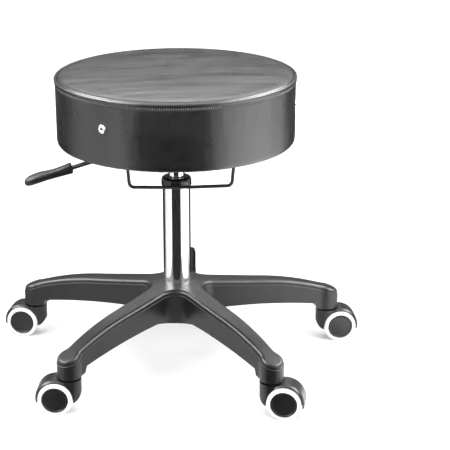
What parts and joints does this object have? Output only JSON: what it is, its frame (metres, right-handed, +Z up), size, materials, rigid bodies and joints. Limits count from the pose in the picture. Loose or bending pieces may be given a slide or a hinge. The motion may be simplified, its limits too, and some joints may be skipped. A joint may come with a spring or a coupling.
{
  "type": "adjustable swivel stool",
  "caption": "Round padded stool on a gas lift, with a side lever, a wire front bar and a star base on hooded twin-wheel castors.",
  "frame": {"origin": "on the floor, under the column's axis", "axes": "+Z up along the column, +Y towards the leg at the back, the side lever towards -X"},
  "size_m": [0.6737, 0.5791, 0.5376],
  "materials": {
    "black_nylon": "fine-textured satin",
    "castor_nylon": "satin",
    "chrome_tube": "polished plating",
    "polished_steel": "ground and polished",
    "plain_steel": "zinc plated",
    "black_steel": "black powder coat",
    "bump_rubber": "matte",
    "white_tread": "smooth soft polyurethane",
    "birch_ply": "sanded plywood",
    "lining_cloth": "non-woven cloth",
    "seat_foam": "open-cell foam",
    "black_leather": "grained satin artificial leather",
    "nickel": "nickel plate"
  },
  "bodies": {
    "base": {"star_base": "black_nylon", "column_tube": "chrome_tube", "column_bushing": "black_nylon", "bearing_lower_race": "plain_steel", "bearing_balls": "plain_steel", "castor_stems": "plain_steel", "stem_grip_rings": "plain_steel"},
    "rod": {"piston_rod": "polished_steel", "rod_clip": "plain_steel", "rubber_damper": "bump_rubber", "piston_head": "plain_steel", "bearing_upper_race": "plain_steel"},
    "seat": {"gas_cylinder": "polished_steel", "rod_guide": "black_nylon", "valve_body": "black_nylon", "taper_socket": "black_steel", "mechanism_channel": "black_steel", "seat_plate": "black_steel", "lever_pivot_pin": "plain_steel", "plate_bolts": "plain_steel", "board_tee_nuts": "plain_steel", "seat_board": "birch_ply", "seat_lining": "lining_cloth", "seat_foam": "seat_foam", "seat_cover": "black_leather", "vent_eyelets": "nickel"},
    "lever": {"lever_rod": "black_steel", "lever_grip": "black_nylon"},
    "button": {"valve_button": "plain_steel"},
    "bar": {"front_bar": "black_steel"},
    "castor_rear": {"castor_housing_rear": "castor_nylon", "castor_axle_rear": "plain_steel"},
    "left_wheel_rear": {"left_wheel_core_rear": "castor_nylon", "left_wheel_tread_rear": "white_tread"},
    "right_wheel_rear": {"right_wheel_core_rear": "castor_nylon", "right_wheel_tread_rear": "white_tread"},
    "castor_rear_left": {"castor_housing_rear_left": "castor_nylon", "castor_axle_rear_left": "plain_steel"},
    "left_wheel_rear_left": {"left_wheel_core_rear_left": "castor_nylon", "left_wheel_tread_rear_left": "white_tread"},
    "right_wheel_rear_left": {"right_wheel_core_rear_left": "castor_nylon", "right_wheel_tread_rear_left": "white_tread"},
    "castor_front_left": {"castor_housing_front_left": "castor_nylon", "castor_axle_front_left": "plain_steel"},
    "left_wheel_front_left": {"left_wheel_core_front_left": "castor_nylon", "left_wheel_tread_front_left": "white_tread"},
    "right_wheel_front_left": {"right_wheel_core_front_left": "castor_nylon", "right_wheel_tread_front_left": "white_tread"},
    "castor_front_right": {"castor_housing_front_right": "castor_nylon", "castor_axle_front_right": "plain_steel"},
    "left_wheel_front_right": {"left_wheel_core_front_right": "castor_nylon", "left_wheel_tread_front_right": "white_tread"},
    "right_wheel_front_right": {"right_wheel_core_front_right": "castor_nylon", "right_wheel_tread_front_right": "white_tread"},
    "castor_rear_right": {"castor_housing_rear_right": "castor_nylon", "castor_axle_rear_right": "plain_steel"},
    "left_wheel_rear_right": {"left_wheel_core_rear_right": "castor_nylon", "left_wheel_tread_rear_right": "white_tread"},
    "right_wheel_rear_right": {"right_wheel_core_rear_right": "castor_nylon", "right_wheel_tread_rear_right": "white_tread"}
  },
  "joints": [
    {"name": "seat_swivel", "type": "hinge", "parent": "base", "child": "rod", "pos_m": [0, 0, 0.09], "axis": [0, 0, 1], "continuous": true},
    {"name": "seat_height", "type": "slide", "parent": "rod", "child": "seat", "axis": [0, 0, 1], "range_m": [0, 0.13]},
    {"name": "lever_pull", "type": "hinge", "parent": "seat", "child": "lever", "pos_m": [-0.0319, -0.00251, 0.4116], "axis": [-0.0785, 0.9969, 0], "range_deg": [0, 6], "stiffness_Nm_per_rad": 1.2},
    {"name": "valve_press", "type": "slide", "parent": "seat", "child": "button", "axis": [0, 0, -1], "range_m": [0, 0.0036], "stiffness_N_per_m": 2000},
    {"name": "bar_swing", "type": "hinge", "parent": "seat", "child": "bar", "pos_m": [0.0121, -0.07729, 0.4133], "axis": [-0.9969, -0.0785, 0], "range_deg": [0, 15]},
    {"name": "castor_swivel_rear", "type": "hinge", "parent": "base", "child": "castor_rear", "pos_m": [0, 0.292, 0.05], "axis": [0, 0, 1], "continuous": true},
    {"name": "left_wheel_spin_rear", "type": "hinge", "parent": "castor_rear", "child": "left_wheel_rear", "pos_m": [-0.00749, 0.27025, 0.0295], "axis": [-0.9455, 0.3256, 0], "continuous": true},
    {"name": "right_wheel_spin_rear", "type": "hinge", "parent": "castor_rear", "child": "right_wheel_rear", "pos_m": [-0.00749, 0.27025, 0.0295], "axis": [-0.9455, 0.3256, 0], "continuous": true},
    {"name": "castor_swivel_rear_left", "type": "hinge", "parent": "base", "child": "castor_rear_left", "pos_m": [-0.27771, 0.09023, 0.05], "axis": [0, 0, 1], "continuous": true},
    {"name": "left_wheel_spin_rear_left", "type": "hinge", "parent": "castor_rear_left", "child": "left_wheel_rear_left", "pos_m": [-0.3005, 0.09331, 0.0295], "axis": [0.134, 0.991, 0], "continuous": true},
    {"name": "right_wheel_spin_rear_left", "type": "hinge", "parent": "castor_rear_left", "child": "right_wheel_rear_left", "pos_m": [-0.3005, 0.09331, 0.0295], "axis": [0.134, 0.991, 0], "continuous": true},
    {"name": "castor_swivel_front_left", "type": "hinge", "parent": "base", "child": "castor_front_left", "pos_m": [-0.17163, -0.23623, 0.05], "axis": [0, 0, 1], "continuous": true},
    {"name": "left_wheel_spin_front_left", "type": "hinge", "parent": "castor_front_left", "child": "left_wheel_front_left", "pos_m": [-0.19463, -0.23607, 0.0295], "axis": [0.007, 1, 0], "continuous": true},
    {"name": "right_wheel_spin_front_left", "type": "hinge", "parent": "castor_front_left", "child": "right_wheel_front_left", "pos_m": [-0.19463, -0.23607, 0.0295], "axis": [0.007, 1, 0], "continuous": true},
    {"name": "castor_swivel_front_right", "type": "hinge", "parent": "base", "child": "castor_front_right", "pos_m": [0.17163, -0.23623, 0.05], "axis": [0, 0, 1], "continuous": true},
    {"name": "left_wheel_spin_front_right", "type": "hinge", "parent": "castor_front_right", "child": "left_wheel_front_right", "pos_m": [0.19445, -0.23912, 0.0295], "axis": [-0.1253, -0.9921, 0], "continuous": true},
    {"name": "right_wheel_spin_front_right", "type": "hinge", "parent": "castor_front_right", "child": "right_wheel_front_right", "pos_m": [0.19445, -0.23912, 0.0295], "axis": [-0.1253, -0.9921, 0], "continuous": true},
    {"name": "castor_swivel_rear_right", "type": "hinge", "parent": "base", "child": "castor_rear_right", "pos_m": [0.27771, 0.09023, 0.05], "axis": [0, 0, 1], "continuous": true},
    {"name": "left_wheel_spin_rear_right", "type": "hinge", "parent": "castor_rear_right", "child": "left_wheel_rear_right", "pos_m": [0.30047, 0.09355, 0.0295], "axis": [0.1444, -0.9895, 0], "continuous": true},
    {"name": "right_wheel_spin_rear_right", "type": "hinge", "parent": "castor_rear_right", "child": "right_wheel_rear_right", "pos_m": [0.30047, 0.09355, 0.0295], "axis": [0.1444, -0.9895, 0], "continuous": true}
  ],
  "couplings": [
    {"joint": "valve_press", "follows": "lever_pull", "m_per_rad": 0.034}
  ]
}
